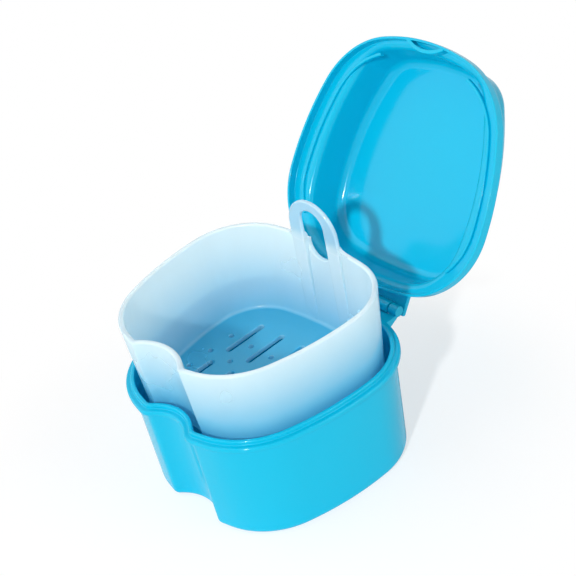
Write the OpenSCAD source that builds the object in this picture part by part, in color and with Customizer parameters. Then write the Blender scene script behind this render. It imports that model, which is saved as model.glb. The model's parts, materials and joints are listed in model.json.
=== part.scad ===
// Denture soaking case: a notched cup, a strainer basket with a loop handle and a hinged, domed lid.
// X runs across the case, Y from the thumb notch to the hinge and Z up.
// The origin is the middle of the cup's underside, in line with the middle of its rim.
// Every shell is a loft: a moulded wall section carried round an outline of tangent arcs.

/* [Outline] */
// Width over the cup's rim
case_w = 86; // [82:1:90]
// Depth over the cup's rim, without the hinge
case_d = 80.5; // [77:0.5:84]
// Radius of the long side curves
side_r = 98; // [90:1:120]
// Distance from the middle back to the widest place
widest_y = 12; // [9:0.5:14]
// Radius of the front curve
front_r = 71; // [65:1:80]
// Radius of the back curve
back_r = 140; // [120:2:170]
// Radius of the front corners
front_corner_r = 29; // [27:0.5:31]
// Radius of the back corners
back_corner_r = 26; // [24:0.5:28]
// Largest distance between a curve and its chords
chord_error = 0.045; // [0.035:0.005:0.08]

/* [Thumb notch] */
// Radius of the notch
notch_r = 12.7; // [11:0.1:14]
// Depth of the notch
notch_depth = 5.4; // [4.4:0.1:6]
// Radius of the shoulders beside the notch
shoulder_r = 5.6; // [4.5:0.1:7]
// Smallest shoulder radius that the mould keeps on inner walls
shoulder_min = 1.2; // [0.8:0.1:1.6]

/* [Cup] */
// Height of the cup
cup_h = 41; // [38:0.5:50]
// Wall thickness of the cup
cup_wall = 1.4; // [1.2:0.1:1.5]
// Floor thickness of the cup
cup_floor = 1.8; // [1.4:0.1:2.4]
// Overhang of the rim beyond the wall
rim_overhang = 1.8; // [1.4:0.1:2]
// Thickness of the rim's flange
rim_h = 1.8; // [1.5:0.1:2.2]
// Height of the lip above the rim's flange
lip_h = 1.4; // [1.2:0.1:1.7]
// Draft of the cup's walls in degrees
cup_draft = 2; // [1:0.25:3]
// Radius of the cup's bottom edge
cup_edge_r = 2.7; // [1.5:0.1:3.5]
// Radius of the fillet inside the cup's floor
cup_fillet_r = 2; // [1:0.1:2.5]

/* [Basket] */
// Height of the basket without its feet
basket_h = 35; // [32:0.5:35.5]
// Wall and floor thickness of the basket
basket_wall = 1.8; // [1.4:0.1:2]
// Gap between the seated basket's rim and the cup
basket_gap = 0.4; // [0.35:0.05:0.8]
// Draft of the basket's walls in degrees
basket_draft = 4; // [3:0.25:5]
// Radius of the basket's bottom edge
basket_edge_r = 2.2; // [1.5:0.1:3]
// Radius of the fillet inside the basket's floor
basket_fillet_r = 1.4; // [0.8:0.1:2]
// Height of the feet under the basket
foot_h = 1; // [0.8:0.1:1.6]
// Diameter of a foot
foot_d = 5; // [3.5:0.5:7]
// Spacing of the feet across the basket
foot_span_x = 44; // [36:1:46]
// Spacing of the feet from front to back
foot_span_y = 40; // [32:1:42]
// Gap left under the feet of the seated basket
seat_gap = 0.1; // [0.05:0.05:0.2]

/* [Strainer holes] */
// Width of a strainer slot
slot_w = 2.2; // [1.6:0.1:3]
// Length of a strainer slot
slot_len = 17; // [12:0.5:18]
// Distance between two rows of slots
slot_pitch = 10.3; // [9:0.1:11]
// Width of the bridge between the two slots of a row
slot_bridge = 6; // [4:0.5:8]
// Rows of slots
slot_rows = 5; // [3:2:5]
// Diameter of a drain hole
drain_d = 1.8; // [1.5:0.1:3]
// Distance from the middle line to a drain hole, from front to back
drain_y = 9.5; // [8:0.5:14]

/* [Handle] */
// Width of the loop handle
handle_w = 22; // [20:0.5:23]
// Height of the handle above the basket's rim
handle_h = 16.8; // [15.5:0.1:16.9]
// Thickness of the handle
handle_t = 1.6; // [1.4:0.1:1.8]
// Width of the handle's strap at its sides
strap_w = 5.6; // [4.2:0.1:6]
// Width of the strap at its top
strap_top_w = 3.5; // [3.2:0.1:4.4]
// How far the finger hole dips below the basket's rim
hole_dip = 6.5; // [4:0.5:8]
// Distance from the rear wall's inner face forward to the handle's front face
handle_set = 1.9; // [1.8:0.1:2.4]
// Radius of the fillets where the handle grows out of the rim
root_r = 3; // [2:0.25:3.5]

/* [Lid] */
// Overhang of the lid beyond the cup's rim
lid_overhang = 1.2; // [1:0.1:1.6]
// How far the lid's skirt and ribs reach down past the cup's rim
skirt_h = 2.7; // [2.4:0.1:2.8]
// Gap between the lid and the cup's rim
lid_gap = 0.3; // [0.25:0.05:0.35]
// Thickness of the lid's flange
flange_t = 1.4; // [1.2:0.1:1.6]
// Thickness of the ribs that enter the cup's mouth
plug_t = 1.1; // [0.8:0.1:1.2]
// Outer radius of the curved rib that spans the thumb notch
thumb_rib_r = 15; // [14:0.1:15.5]
// Thickness of that rib
thumb_rib_t = 1.4; // [1:0.1:1.6]

/* [Dome of the lid] */
// Wall thickness of the dome
lid_wall = 1.6; // [1.2:0.1:2]
// Depth of the dome inside, above the cup's rim
dome_depth = 14.7; // [14.6:0.1:20]
// Width of the dome's mouth
dome_w = 66.4; // [64:0.2:68]
// Distance from the middle forward to the dome's mouth
dome_front = 37.5; // [37:0.1:38]
// Distance from the middle back to the dome's mouth
dome_rear = 37.5; // [37.2:0.1:37.8]
// Radius of the dome's long side curves
dome_side_r = 90; // [80:2:110]
// Distance from the middle back to the dome's widest place
dome_widest_y = 9; // [7:0.5:11]
// Radius of the dome's front corners
dome_front_corner_r = 13; // [11:0.5:15]
// Radius of the dome's back corners
dome_back_corner_r = 28; // [26:0.5:30]
// Draft of the dome's walls in degrees
dome_draft = 8; // [5:0.5:9]
// Radius of the fillet inside the dome's top edge
dome_fillet_r = 3.5; // [2.5:0.25:4.5]

/* [Hinge] */
// Distance from the rim back to the hinge axis
hinge_back = 5.1; // [4.9:0.1:5.6]
// Distance from the rim's top down to the hinge axis
hinge_drop = 2.15; // [2.05:0.05:2.35]
// Diameter of the hinge pin
pin_d = 2; // [1.6:0.1:2.2]
// Running clearance on the pin's radius in the lid's knuckle
pin_play = 0.05; // [0.03:0.01:0.1]
// Radius of the cup's ears round the pin
ear_r = 1.9; // [1.8:0.05:2]
// Radius of the lid's knuckle round the pin
knuckle_r = 2.1; // [1.9:0.05:2.4]
// Length of the lid's knuckle
knuckle_len = 34.8; // [26:0.2:36]
// Width of one ear
ear_w = 3.7; // [3:0.1:4.5]
// Gap between the knuckle and an ear
ear_gap = 0.4; // [0.3:0.05:0.6]
// Thickness of the tab between the flange and the knuckle
tab_t = 1.6; // [1.4:0.1:2]
// Gap between the tab and the ears
tab_gap = 0.3; // [0.25:0.05:0.4]

/* [Pose] */
// Opening of the lid in degrees
lid_open = 125; // [0:1:125]
// Lift of the basket when the lid is fully open
lift_full = 26.8; // [20:0.1:28]

/* [Hidden] */
$fn = 64;
// Opening at which the lid meets its stop, in degrees
open_stop = 125;
// Chords in a quarter of a rounded edge
edge_steps = 4;
// Overlap that fuses one form of a piece with the next
bite = 0.6;
// Length that carries a cut clear of a face
beyond = 2;
// Radius of the small edges on rims
lip_r = 0.5;

rim_z = cup_h;
basket_lift = lift_full * lid_open / open_stop;

// Direction in degrees from one point to another
function aim(from, to) = atan2(to.y - from.y, to.x - from.x);

// Point where two circles cross, on the left (side 1) or the right (side -1) of the line between them
function meet(a, ra, b, rb, side) =
    let (
        d = norm(b - a),
        along = (ra^2 - rb^2 + d^2) / (2*d),
        off = sqrt(ra^2 - along^2),
        t = (b - a) / d
    )
    a + along*t + side*off*[-t.y, t.x];

// An arc is its centre, its radius (below zero where it is hollow), and its start and end in degrees.
// The right-hand flank of an outline: front corner, side and back corner, tangent to the front and back curves
function flank(side, front, back, front_corner_r, back_corner_r) =
    let (
        front_corner = meet(side[0], side[1] - front_corner_r, front[0], front[1] - front_corner_r, -1),
        back_corner = meet(side[0], side[1] - back_corner_r, back[0], back[1] - back_corner_r, 1),
        start = aim(side[0], front_corner),
        end = aim(side[0], back_corner)
    )
    [
        [front_corner, front_corner_r, aim(front[0], front_corner), start],
        [side[0], side[1], start, end],
        [back_corner, back_corner_r, end, aim(back[0], back_corner)]
    ];

function across(arc) = [[-arc[0].x, arc[0].y], arc[1], 180 - arc[3], 180 - arc[2]];
function backwards(list) = [for (i = [len(list) - 1 : -1 : 0]) list[i]];

// Right-hand arcs, the back curve that follows them, and the same arcs on the left
function both_sides(right, back) =
    let (start = right[len(right) - 1][3])
    concat(right, [[back[0], back[1], start, 180 - start]], [for (arc = backwards(right)) across(arc)]);

// Whole outline whose front curve runs straight across
function plain_outline(right, front, back) =
    concat([[front[0], front[1], -180 - right[0][2], right[0][2]]], both_sides(right, back));

// Circles of the case's outline
side = [[case_w/2 - side_r, widest_y], side_r];
front = [[0, front_r - case_d/2], front_r];
back = [[0, case_d/2 - back_r], back_r];
notch_c = [0, notch_depth - case_d/2 - notch_r];
side_arcs = flank(side, front, back, front_corner_r, back_corner_r);
front_end = side_arcs[0][2];
plain_arcs = plain_outline(side_arcs, front, back);

// Between the notch and the front curve lies a shoulder, which gets tighter on an inner wall
function shoulder_at(u) = max(shoulder_r + u, shoulder_min);
function shoulder_c(u) =
    meet(notch_c, notch_r - u + shoulder_at(u), front[0], front_r + u - shoulder_at(u), -1);
function notched_arcs(u) =
    let (
        c = shoulder_c(u),
        start = aim(notch_c, c),
        end = aim(front[0], c),
        shoulder = [[c, shoulder_at(u) - u, start - 180, end], [front[0], front_r, end, front_end]]
    )
    concat([[notch_c, -notch_r, 180 - start, start]], both_sides(concat(shoulder, side_arcs), back));

// Chords that an arc needs, counted once on the outline so that every ring has as many points
function chords(arc) = max(1, ceil(abs(arc[3] - arc[2]) / (2*acos(1 - chord_error/abs(arc[1])))));
notched_chords = [for (arc = notched_arcs(0)) chords(arc)];
plain_chords = [for (arc = plain_arcs) chords(arc)];

// Points of a chain of arcs that is moved outward by u, without the last arc's end
function trace(arcs, counts, u) = [
    for (k = [0 : len(arcs) - 1])
        for (i = [0 : counts[k] - 1])
            let (arc = arcs[k], a = arc[2] + (arc[3] - arc[2])*i/counts[k])
            arc[0] + abs(arc[1] + u)*[cos(a), sin(a)]
];

// Rings of a section point [u, z]: its distance outward from the outline and its height
function ring(arcs, counts, p) = [for (q = trace(arcs, counts, p[0])) [q.x, q.y, p[1]]];
function notched_ring(p) = ring(notched_arcs(p[0]), notched_chords, p);
function plain_ring(p) = ring(plain_arcs, plain_chords, p);

// Points of a rounded edge in the section
function edge(u, z, r, from, to, steps = edge_steps) = [
    for (i = [0 : steps])
        let (a = from + (to - from)*i/steps)
        [u + r*cos(a), z + r*sin(a)]
];

// Solid skin over a list of rings with as many points each, closed at both ends
module loft(rings) {
    n = len(rings[0]);
    last = (len(rings) - 1)*n;
    points = [for (ring = rings) for (p = ring) p];
    sides = [
        for (i = [0 : len(rings) - 2])
            for (j = [0 : n - 1])
                let (a = i*n + j, b = i*n + (j + 1) % n)
                [a, a + n, b + n, b]
    ];
    start_cap = [for (j = [0 : n - 1]) j];
    end_cap = [for (j = [n - 1 : -1 : 0]) last + j];
    polyhedron(points, concat([start_cap, end_cap], sides), convexity = 8);
}

// Turns a flat shape drawn in Y and Z into a bar that runs along X from one place to another
module along_x(from, to)
    translate([from, 0, 0])
        rotate([90, 0, 90])
            linear_extrude(to - from)
                children();

module both_hands() {
    children();
    mirror([1, 0, 0]) children();
}

// Back edge of the rim's outline at a distance x from the middle
function back_edge(x) = back[0].y + sqrt(back_r^2 - x^2);

// Cup: outside up from the bottom edge, round the rim's flange, over the lip, and down inside to the floor

flange_top = rim_z - lip_h;
rim_edge_r = 0.5;

function cup_outside(z) = -rim_overhang - (flange_top - rim_h - z)*tan(cup_draft);
function cup_inside(z) = -rim_overhang - cup_wall - (rim_z - z)*tan(cup_draft);

cup_bottom_u = cup_outside(cup_edge_r) - cup_edge_r/cos(cup_draft);
cup_fillet_u = cup_inside(cup_floor + cup_fillet_r) - cup_fillet_r/cos(cup_draft);
cup_section = concat(
    edge(cup_bottom_u, cup_edge_r, cup_edge_r, -90, -cup_draft),
    [[-rim_overhang, flange_top - rim_h]],
    edge(-rim_edge_r, flange_top - rim_h + rim_edge_r, rim_edge_r, -90, 0, 2),
    edge(-rim_edge_r, flange_top - rim_edge_r, rim_edge_r, 0, 90, 2),
    [[-rim_overhang, flange_top]],
    edge(-rim_overhang - lip_r, rim_z - lip_r, lip_r, 0, 90, 2),
    edge(cup_inside(rim_z) + lip_r, rim_z - lip_r, lip_r, 90, 180, 2),
    edge(cup_fillet_u, cup_floor + cup_fillet_r, cup_fillet_r, -cup_draft, -90, 3)
);

// Hinge places shared by the cup, the pin and the lid
hinge_y = case_d/2 + hinge_back;
hinge_z = rim_z - hinge_drop;
ear_in = knuckle_len/2 + ear_gap;
ear_out = ear_in + ear_w;
skirt_z = rim_z - skirt_h;

// Side view of an ear: a round eye on a web whose lower edge slopes down to the wall
ear_root_y = back_edge(ear_out) - rim_overhang - cup_wall/2;
ear_web_top = skirt_z - lid_gap;
ear_web_drop = 4.2;
ear_web_turn = 36;
ear_foot = hinge_z - ear_r - ear_web_drop;

module ear_side() {
    translate([hinge_y, hinge_z]) circle(ear_r);
    polygon([
        [ear_root_y - (ear_web_top - ear_foot)*tan(cup_draft), ear_foot],
        [hinge_y, hinge_z - ear_r*cos(ear_web_turn)],
        [hinge_y, ear_web_top],
        [ear_root_y, ear_web_top]
    ]);
}

module base_cup() color([0.18, 0.78, 0.93]) difference() {
    union() {
        loft([for (p = cup_section) notched_ring(p)]);
        both_hands() along_x(ear_in, ear_out) ear_side();
    }
    along_x(-ear_out - beyond, ear_out + beyond)
        translate([hinge_y, hinge_z]) circle(pin_d/2);
}

// Hinge pin: a plain rod whose ends finish flush with the ears

module hinge_pin() color([0.12, 0.62, 0.78])
    along_x(-ear_out, ear_out)
        translate([hinge_y, hinge_z]) circle(pin_d/2);

// Basket, drawn on its seat: feet, drafted walls, strainer floor and a loop handle on the rear wall

basket_z = cup_floor + seat_gap + foot_h;
basket_top = basket_z + basket_h;
basket_rim_u = cup_inside(basket_top) - basket_gap;

function basket_outside(z) = basket_rim_u - (basket_top - z)*tan(basket_draft);
function basket_inside(z) = basket_outside(z) - basket_wall;

basket_lip_r = basket_wall/3;
basket_floor = basket_z + basket_wall;
basket_bottom_u = basket_outside(basket_z + basket_edge_r) - basket_edge_r/cos(basket_draft);
basket_fillet_u = basket_inside(basket_floor + basket_fillet_r) - basket_fillet_r/cos(basket_draft);
basket_section = concat(
    edge(basket_bottom_u, basket_z + basket_edge_r, basket_edge_r, -90, -basket_draft, 3),
    edge(basket_rim_u - basket_lip_r, basket_top - basket_lip_r, basket_lip_r, 0, 90, 2),
    edge(basket_rim_u - basket_wall + basket_lip_r, basket_top - basket_lip_r, basket_lip_r, 90, 180, 2),
    edge(basket_fillet_u, basket_floor + basket_fillet_r, basket_fillet_r, -basket_draft, -90, 3)
);

handle_front = case_d/2 + basket_inside(basket_top) - handle_set;
handle_back = handle_front + handle_t;
handle_top = basket_top + handle_h;
hole_r = handle_w/2 - strap_w;
hole_low = basket_top - hole_dip;
hole_high = handle_top - strap_top_w;

// Middle of the rear wall at height z, where the handle's legs run
function rear_middle(z) = back_edge(handle_w/2) + basket_outside(z) - basket_wall/2;

// Front view of the finger hole, with round ends
module hole_front() {
    for (z = [hole_low + hole_r, hole_high - hole_r])
        translate([0, z]) circle(hole_r);
    translate([-hole_r, hole_low + hole_r]) square([2*hole_r, hole_high - hole_low - 2*hole_r]);
}

// Front view of the loop above the rim
module loop_front() {
    loop_r = handle_w/2;
    translate([0, handle_top - loop_r]) circle(loop_r);
    translate([-loop_r, basket_top]) square([handle_w, handle_h - loop_r]);
}

// Front view of the fillet beside a leg: a square corner less a quarter circle
module root_front() difference() {
    translate([handle_w/2 - bite, basket_top - bite]) square(root_r + bite);
    translate([handle_w/2 + root_r, basket_top + root_r]) circle(root_r);
}

// Side view of a leg: it rises out of the rear wall, stands proud at the rim and narrows to the loop above it
module leg_side() polygon([
    [rear_middle(basket_floor) - bite, basket_floor - bite],
    [rear_middle(basket_floor), basket_floor - bite],
    [rear_middle(basket_top), basket_top - lip_r],
    [handle_back, basket_top + root_r],
    [handle_front, basket_top + root_r],
    [handle_front, basket_top]
]);

// Inner face of the rear wall where the fillets beside the legs end
root_face = back_edge(handle_w/2 + root_r) + basket_inside(basket_top);

// Turns a front view into a plate from one place in Y to another
module along_y(from, to)
    translate([0, to, 0])
        rotate([90, 0, 0])
            linear_extrude(to - from)
                children();

module handle() difference() {
    union() {
        along_y(handle_front, handle_back) loop_front();
        both_hands() {
            along_x(hole_r, handle_w/2) leg_side();
            intersection() {
                along_y(root_face, rear_middle(basket_top)) root_front();
                along_x(0, handle_w/2 + root_r) leg_side();
            }
        }
    }
    along_y(handle_front - beyond, case_d/2) hole_front();
}

// Strainer pattern: rows of paired slots with drain holes between the rows
module slot() {
    half = slot_len/2 - slot_w/2;
    for (end = [-half, half])
        translate([0, end, 0]) cylinder(d = slot_w, h = basket_wall + 2*beyond);
    translate([-slot_w/2, -half, 0]) cube([slot_w, 2*half, basket_wall + 2*beyond]);
}

module strainer_holes() {
    half_rows = (slot_rows - 1)/2;
    for (row = [-half_rows : half_rows])
        for (hand = [-1, 1])
            translate([row*slot_pitch, hand*(slot_bridge + slot_len)/2, 0]) slot();
    for (row = [-half_rows - 0.5 : half_rows + 0.5])
        for (hand = [-1, 0, 1])
            translate([row*slot_pitch, hand*drain_y, 0])
                cylinder(d = drain_d, h = basket_wall + 2*beyond);
}

module feet()
    for (x = [-1, 1])
        for (y = [-1, 1])
            translate([x*foot_span_x/2, y*foot_span_y/2, basket_z - foot_h])
                cylinder(d = foot_d, h = foot_h + bite);

module strainer_basket() color([0.8, 0.91, 0.97]) translate([0, 0, basket_lift]) {
    difference() {
        loft([for (p = basket_section) notched_ring(p)]);
        translate([0, 0, basket_z - beyond]) strainer_holes();
        along_y(handle_front - beyond, case_d/2) hole_front();
    }
    handle();
    feet();
}

// Lid, drawn shut: a flange with a skirt, and a dome whose mouth has its own outline

ceiling_z = rim_z + dome_depth;
groove_z = rim_z + lid_gap;
flange_z = groove_z + flange_t;
flange_section = concat(
    [[lid_gap, groove_z], [lid_gap, skirt_z], [lid_overhang - lip_r/2, skirt_z]],
    [[lid_overhang, skirt_z + lip_r/2]],
    edge(lid_overhang - flange_t, flange_z - flange_t, flange_t, 0, 90)
);

dome_side = [[dome_w/2 - dome_side_r, dome_widest_y], dome_side_r];
dome_front_curve = [[0, front_r - dome_front], front_r];
dome_rear_curve = [[0, dome_rear - back_r], back_r];
dome_arcs = plain_outline(
    flank(dome_side, dome_front_curve, dome_rear_curve, dome_front_corner_r, dome_back_corner_r),
    dome_front_curve, dome_rear_curve);
dome_chords = [for (arc = dome_arcs) chords(arc)];
function dome_ring(p) = ring(dome_arcs, dome_chords, p);

function dome_inside(z) = -(z - groove_z)*tan(dome_draft);

dome_fillet_z = ceiling_z - dome_fillet_r;
dome_fillet_u = dome_inside(dome_fillet_z) - dome_fillet_r/cos(dome_draft);
dome_foot_r = 1.2;
dome_foot_u = dome_inside(flange_z + dome_foot_r) + lid_wall/cos(dome_draft) + dome_foot_r;
dome_block = concat(
    [[dome_foot_u, flange_z - bite]],
    edge(dome_foot_u, flange_z + dome_foot_r, dome_foot_r, 270, 180 + dome_draft, 3),
    edge(dome_fillet_u, dome_fillet_z, dome_fillet_r + lid_wall, dome_draft, 90, 5)
);
dome_hollow = concat(
    [[lip_r, groove_z - bite]],
    edge(lip_r, groove_z + lip_r, lip_r, 270, 180, 2),
    edge(dome_fillet_u, dome_fillet_z, dome_fillet_r, dome_draft, 90)
);

// Rib that enters the cup's mouth along one side, from the middle of the front corner to the back corner
plug_out = cup_inside(rim_z) - basket_gap;
function middle(arc, share) = arc[2] + (arc[3] - arc[2])*share;
plug_front = 0.12;
plug_rear = 0.5;
plug_arcs = [
    [side_arcs[0][0], side_arcs[0][1], middle(side_arcs[0], plug_front), side_arcs[0][3]],
    side_arcs[1],
    [side_arcs[2][0], side_arcs[2][1], side_arcs[2][2], middle(side_arcs[2], plug_rear)]
];
plug_chords = [for (arc = plug_arcs) chords(arc)];
plug_section = [
    [plug_out - plug_t, groove_z + bite],
    [plug_out, groove_z + bite],
    [plug_out, skirt_z + lip_r],
    [plug_out - lip_r, skirt_z],
    [plug_out - plug_t, skirt_z]
];

module plug_rib() {
    lines = [for (p = plug_section) trace(plug_arcs, plug_chords, p[0])];
    loft([
        for (i = [0 : len(lines[0]) - 1])
            [for (k = [0 : len(plug_section) - 1]) [lines[k][i].x, lines[k][i].y, plug_section[k][1]]]
    ]);
}

// Curved rib that spans the thumb notch, from the skirt in to the dome's mouth and back
thumb_rib_overlap = 0.2;
thumb_rib_c = [0, thumb_rib_overlap - dome_front - thumb_rib_r];
thumb_half_angle = acos((-case_d/2 - thumb_rib_c.y)/thumb_rib_r);

module thumb_rib()
    translate([thumb_rib_c.x, thumb_rib_c.y, skirt_z])
        rotate([0, 0, 90 - thumb_half_angle])
            rotate_extrude(angle = 2*thumb_half_angle)
                translate([thumb_rib_r - thumb_rib_t, 0])
                    square([thumb_rib_t, groove_z - skirt_z + bite]);

// Side view of the tab that carries the knuckle, above the ears
tab_z = hinge_z + ear_r + tab_gap;
tab_front = back_edge(ear_out) + lid_gap;
knuckle_turn = 40;
knuckle_block = knuckle_r*cos(knuckle_turn);

module tab_side()
    translate([tab_front, tab_z])
        square([hinge_y + knuckle_block - tab_front, tab_t]);

module knuckle_side() {
    translate([hinge_y, hinge_z]) circle(knuckle_r);
    translate([hinge_y - knuckle_block, hinge_z]) square([2*knuckle_block, tab_z + bite - hinge_z]);
}

module lid_shut() difference() {
    union() {
        difference() {
            union() {
                loft([for (p = flange_section) plain_ring(p)]);
                loft([for (p = dome_block) dome_ring(p)]);
            }
            loft([for (p = dome_hollow) dome_ring(p)]);
        }
        both_hands() plug_rib();
        thumb_rib();
        along_x(-ear_out, ear_out) tab_side();
        along_x(-knuckle_len/2, knuckle_len/2) knuckle_side();
    }
    along_x(-knuckle_len/2 - beyond, knuckle_len/2 + beyond)
        translate([hinge_y, hinge_z]) circle(pin_d/2 + pin_play);
}

module lid() color([0.13, 0.72, 0.92])
    translate([0, hinge_y, hinge_z])
        rotate([-lid_open, 0, 0])
            translate([0, -hinge_y, -hinge_z])
                lid_shut();

base_cup();
strainer_basket();
lid();
hinge_pin();
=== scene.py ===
import json
import math
import bmesh
import bpy
import numpy as np
from mathutils import Matrix, Vector


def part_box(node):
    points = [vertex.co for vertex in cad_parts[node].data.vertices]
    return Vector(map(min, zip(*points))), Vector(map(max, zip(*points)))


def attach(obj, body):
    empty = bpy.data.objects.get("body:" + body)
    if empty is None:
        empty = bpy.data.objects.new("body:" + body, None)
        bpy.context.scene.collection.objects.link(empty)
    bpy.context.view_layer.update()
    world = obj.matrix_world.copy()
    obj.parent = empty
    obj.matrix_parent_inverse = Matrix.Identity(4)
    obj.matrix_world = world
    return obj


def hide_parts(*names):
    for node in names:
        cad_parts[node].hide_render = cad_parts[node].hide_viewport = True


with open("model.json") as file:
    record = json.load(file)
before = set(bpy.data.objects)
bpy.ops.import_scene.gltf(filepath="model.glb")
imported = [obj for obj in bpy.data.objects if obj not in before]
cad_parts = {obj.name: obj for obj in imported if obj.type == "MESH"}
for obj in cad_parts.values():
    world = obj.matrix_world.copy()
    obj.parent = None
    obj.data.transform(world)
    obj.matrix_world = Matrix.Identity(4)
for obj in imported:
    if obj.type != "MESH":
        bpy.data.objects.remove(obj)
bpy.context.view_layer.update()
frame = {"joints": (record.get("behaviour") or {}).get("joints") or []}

bl_info = {
    "name": "Denture Case",
    "version": (1, 0, 0),
    "blender": (4, 5, 0),
    "location": "3D View > Sidebar > Denture Case",
    "description": "Moulded denture case: notched cup, strainer basket with a loop handle, and hinged lid",
    "category": "Add Mesh",
}

MM = 0.001
JOINTS = {joint["name"]: joint for joint in frame["joints"]}
HINGE_Y, HINGE_Z = JOINTS["lid_hinge"]["pos_m"][1:]
LID_OPEN = math.radians(JOINTS["lid_hinge"]["range_deg"][1])
BASKET_LIFT = JOINTS["basket_lift"]["range_m"][1]
PIN_LOW, PIN_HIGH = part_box("hinge_pin")
PIN_R = (PIN_HIGH.z - PIN_LOW.z) / 2
BASKET_LOW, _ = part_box("strainer_basket")
# Overlap that fuses one form of a piece with the next, and length that carries a cut clear of a face
BITE = 0.6 * MM
BEYOND = 2 * MM
# Radii of small moulded edges, from the finest to the softest
FINE_EDGE = 0.25 * MM
SMALL_EDGE = 0.3 * MM
RIB_EDGE = 0.35 * MM
SOFT_EDGE = 0.5 * MM
# Depth of the relief on the plastics' faces
RELIEF = 0.02 * MM


def size(label, default_mm, words):
    """A length property whose default is given in millimetres."""
    return bpy.props.FloatProperty(name=label, description=words, default=default_mm * MM,
                                   min=0, unit="LENGTH", precision=5)


def angle(label, degrees, words):
    """An angle property whose default is given in degrees."""
    return bpy.props.FloatProperty(name=label, description=words, default=math.radians(degrees),
                                   subtype="ANGLE")


def colour(label, rgb, words):
    """A colour property, in linear values."""
    return bpy.props.FloatVectorProperty(name=label, description=words, default=rgb, size=3,
                                         subtype="COLOR", min=0, max=1)


def number(label, value, words, high=1.0):
    """A plain number property that isn't below zero."""
    return bpy.props.FloatProperty(name=label, description=words, default=value, min=0, max=high)


def count(label, value, words):
    """A whole number property."""
    return bpy.props.IntProperty(name=label, description=words, default=value, min=1)


class OutlineSizes(bpy.types.PropertyGroup):
    """Plan of the case, which the cup, the basket and the lid share."""
    case_w: size("Width", 86, "Width over the cup's rim")
    case_d: size("Depth", 80.5, "Depth over the cup's rim, without the hinge")
    side_r: size("Side radius", 98, "Radius of the long side curves")
    widest_y: size("Widest place", 12, "Distance from the middle back to the widest place")
    front_r: size("Front radius", 71, "Radius of the front curve")
    back_r: size("Back radius", 140, "Radius of the back curve")
    front_corner_r: size("Front corner radius", 29, "Radius of the front corners")
    back_corner_r: size("Back corner radius", 26, "Radius of the back corners")
    notch_r: size("Notch radius", 12.7, "Radius of the thumb notch")
    notch_depth: size("Notch depth", 5.4, "Depth of the thumb notch")
    shoulder_r: size("Shoulder radius", 5.6, "Radius of the shoulders beside the notch")
    shoulder_min: size("Tightest shoulder", 1.2, "Smallest shoulder radius on inner walls")
    step: size("Mesh step", 0.7, "Longest chord along the outline")


class CupSizes(bpy.types.PropertyGroup):
    """Sizes of the cup."""
    height: size("Height", 41, "Height of the cup to its lip")
    wall: size("Wall", 1.4, "Wall thickness")
    floor: size("Floor", 1.8, "Floor thickness")
    overhang: size("Rim overhang", 1.8, "How far the rim's flange stands out from the wall")
    lip_h: size("Lip height", 1.4, "Height of the lip above the flange")
    flange_h: size("Flange height", 1.8, "Thickness of the flange")
    draft: angle("Draft", 2, "Draft of the walls")
    edge_r: size("Bottom edge", 2.7, "Radius of the bottom edge")
    fillet_r: size("Floor fillet", 2, "Radius of the fillet inside")


class BasketSizes(bpy.types.PropertyGroup):
    """Sizes of the strainer basket and its handle."""
    height: size("Height", 35, "Height without the feet")
    wall: size("Wall", 1.8, "Wall and floor thickness")
    gap: size("Gap", 0.4, "Gap between the seated basket's rim and the cup")
    draft: angle("Draft", 4, "Draft of the walls")
    edge_r: size("Bottom edge", 2.2, "Radius of the bottom edge")
    fillet_r: size("Floor fillet", 1.4, "Radius of the fillet inside")
    foot_h: size("Foot height", 1, "Height of a foot")
    foot_d: size("Foot diameter", 5, "Diameter of a foot")
    foot_x: size("Foot spacing across", 44, "Spacing of the feet across")
    foot_y: size("Foot spacing in depth", 40, "Spacing of the feet from front to back")
    seat_gap: size("Seat gap", 0.1, "Gap left under the feet of the seated basket")
    slot_w: size("Slot width", 2.2, "Width of a strainer slot")
    slot_len: size("Slot length", 17, "Length of a strainer slot")
    slot_pitch: size("Slot pitch", 10.3, "Distance between two rows of slots")
    slot_bridge: size("Bridge", 6, "Bridge between the two slots of a row")
    slot_rows: count("Rows", 5, "Rows of slots")
    drain_d: size("Drain hole", 1.8, "Diameter of a drain hole")
    drain_y: size("Drain spacing", 9.5, "Distance from the middle line to a drain hole")
    handle_w: size("Handle width", 22, "Width of the loop handle")
    handle_h: size("Handle height", 16.8, "Height of the handle above the rim")
    handle_t: size("Handle thickness", 1.6, "Thickness of the handle")
    strap_w: size("Strap width", 5.6, "Width of the strap at its sides")
    strap_top_w: size("Strap top", 3.5, "Width of the strap at its top")
    hole_dip: size("Hole dip", 6.5, "How far the finger hole dips below the rim")
    handle_set: size("Handle set", 1.9, "Distance from the rear wall's inner face to the handle's front")
    root_r: size("Root fillet", 3, "Radius of the fillets where the handle grows out of the rim")
    round_r: size("Handle edges", 0.55, "Radius of the handle's moulded edges")


class LidSizes(bpy.types.PropertyGroup):
    """Sizes of the lid's flange and ribs."""
    overhang: size("Overhang", 1.2, "Overhang beyond the cup's rim")
    skirt_h: size("Skirt", 2.7, "How far the skirt and the thumb rib reach down past the cup's rim")
    gap: size("Gap", 0.3, "Gap between the lid and the cup's rim")
    flange_t: size("Flange", 1.4, "Thickness of the flange")
    plug_t: size("Plug rib", 1.1, "Thickness of the ribs that enter the cup's mouth")
    plug_h: size("Plug reach", 0.9, "Height of those ribs above the groove's floor")
    plug_front: number("Plug rib front", 0.12, "Share of the front corner that those ribs leave free")
    plug_rear: number("Plug rib back", 0.5, "Share of the back corner that those ribs follow")
    thumb_rib_r: size("Thumb rib radius", 15, "Outer radius of the rib that spans the thumb notch")
    thumb_rib_t: size("Thumb rib", 1.4, "Thickness of that rib")
    thumb_rib_overlap: size("Thumb rib reach", 0.2, "How far that rib runs past the dome's mouth")


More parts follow.
